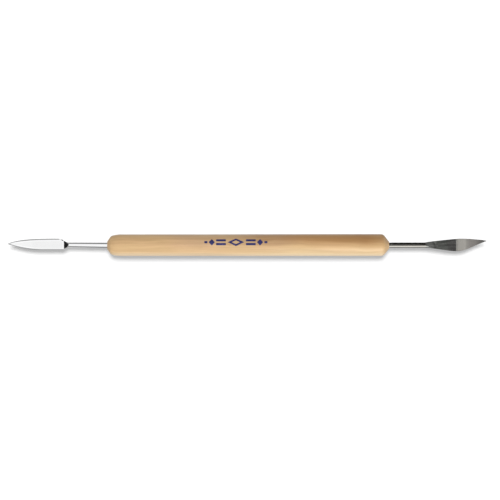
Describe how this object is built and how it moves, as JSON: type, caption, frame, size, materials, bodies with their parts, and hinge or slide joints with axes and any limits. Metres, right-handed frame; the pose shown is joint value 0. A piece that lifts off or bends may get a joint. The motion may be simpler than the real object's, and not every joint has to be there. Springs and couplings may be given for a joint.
{
  "type": "clay modeling tool",
  "caption": "Double-ended clay modeling tool: a slim turned wooden handle with a leaf-shaped steel spatula at one end and an offset, pointed steel lancet blade at the other.",
  "frame": {"origin": "middle of the tip-to-tip length, on the handle's axis", "axes": "+X along the tool towards the lancet, +Z normal to the broad faces of both blades, +Y across them towards the lancet's tip"},
  "size_m": [0.1764, 0.008, 0.008],
  "materials": {
    "handle_wood": "pale close-grained hardwood, fine-sanded, thin satin lacquer",
    "spatula_steel": "bright polished steel",
    "lancet_steel": "ground steel, fine marks running lengthwise and fanning out with the blade",
    "adhesive": "cured amber adhesive"
  },
  "bodies": {
    "root": {"wooden_handle": "handle_wood", "spatula_head": "spatula_steel", "lancet_head": "lancet_steel", "adhesive_sleeve_left": "adhesive", "adhesive_sleeve_right": "adhesive"}
  },
  "joints": []
}
